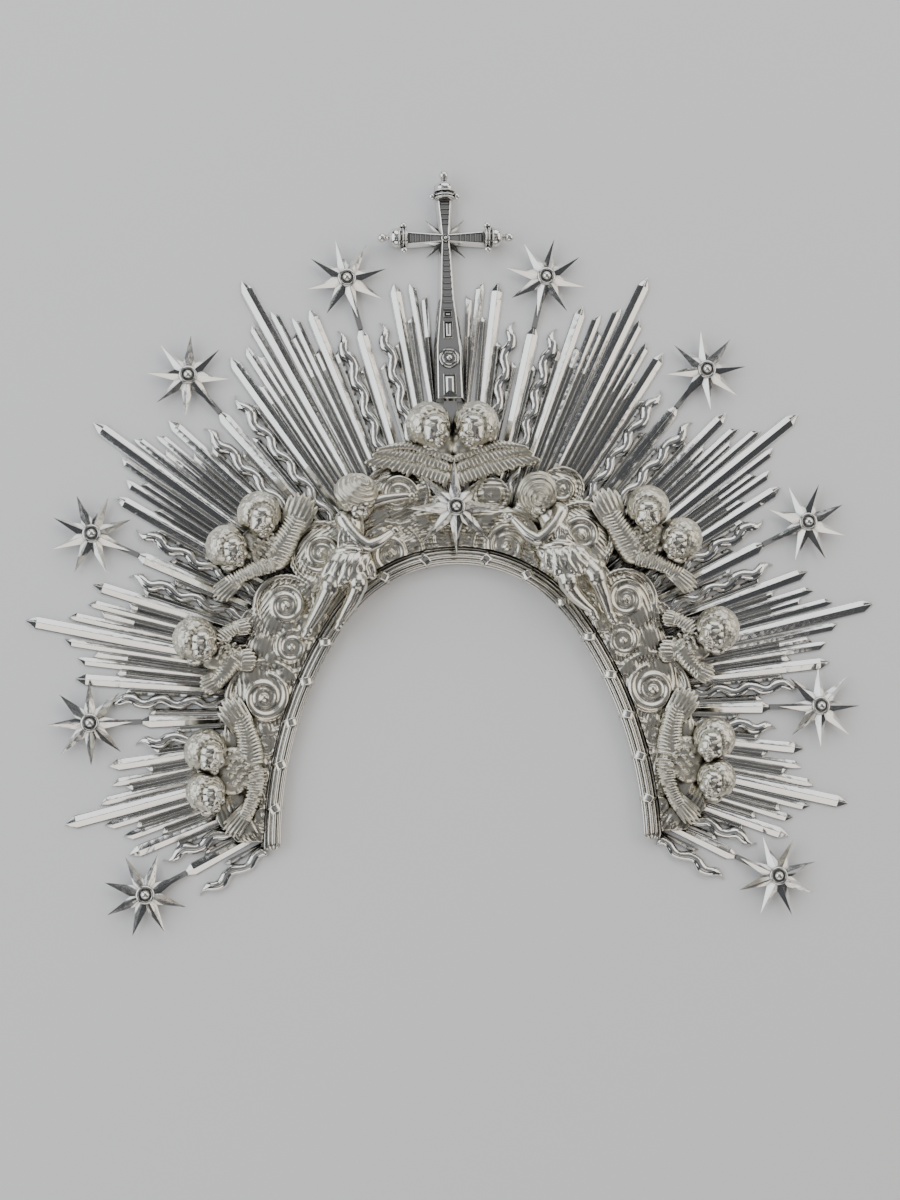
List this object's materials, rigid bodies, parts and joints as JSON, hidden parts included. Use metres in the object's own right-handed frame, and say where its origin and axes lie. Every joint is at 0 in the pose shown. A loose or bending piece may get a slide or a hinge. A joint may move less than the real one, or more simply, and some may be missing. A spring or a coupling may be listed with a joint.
{
  "type": "diadem",
  "caption": "Sunburst diadem in silver: a reeded arch with clouds, cherubs and small angels, fans of straight and wavy rays, ray-end stars and a cross on top.",
  "frame": {"origin": "middle of the outline, on the plane of the back", "axes": "+Z out of the front face, +Y towards the cross, +X to the right as seen from the front"},
  "size_m": [0.5018, 0.4488, 0.0306],
  "materials": {
    "polished": "polished silver",
    "satin": "chased silver with dark recesses"
  },
  "bodies": {
    "root": {"rim_crown": "polished", "cloud_crown": "satin", "cross": "polished", "centre_star": "polished", "cherub_pair_top": "satin", "rim_left": "polished", "rim_right": "polished", "cloud_left": "satin", "cloud_right": "satin", "ray_fan_left_1": "polished", "ray_fan_left_2": "polished", "ray_fan_left_3": "polished", "ray_fan_left_4": "polished", "ray_fan_left_5": "polished", "ray_fan_left_6": "polished", "ray_fan_right_1": "polished", "ray_fan_right_2": "polished", "ray_fan_right_3": "polished", "ray_fan_right_4": "polished", "ray_fan_right_5": "polished", "ray_fan_right_6": "polished", "star_left_1": "polished", "star_left_2": "polished", "star_left_3": "polished", "star_left_4": "polished", "star_left_5": "polished", "star_right_1": "polished", "star_right_2": "polished", "star_right_3": "polished", "star_right_4": "polished", "star_right_5": "polished", "cherub_pair_upper_left": "satin", "cherub_pair_upper_right": "satin", "cherub_single_left": "satin", "cherub_single_right": "satin", "cherub_pair_lower_left": "satin", "cherub_pair_lower_right": "satin", "putto_left": "satin", "putto_right": "satin"}
  },
  "joints": []
}
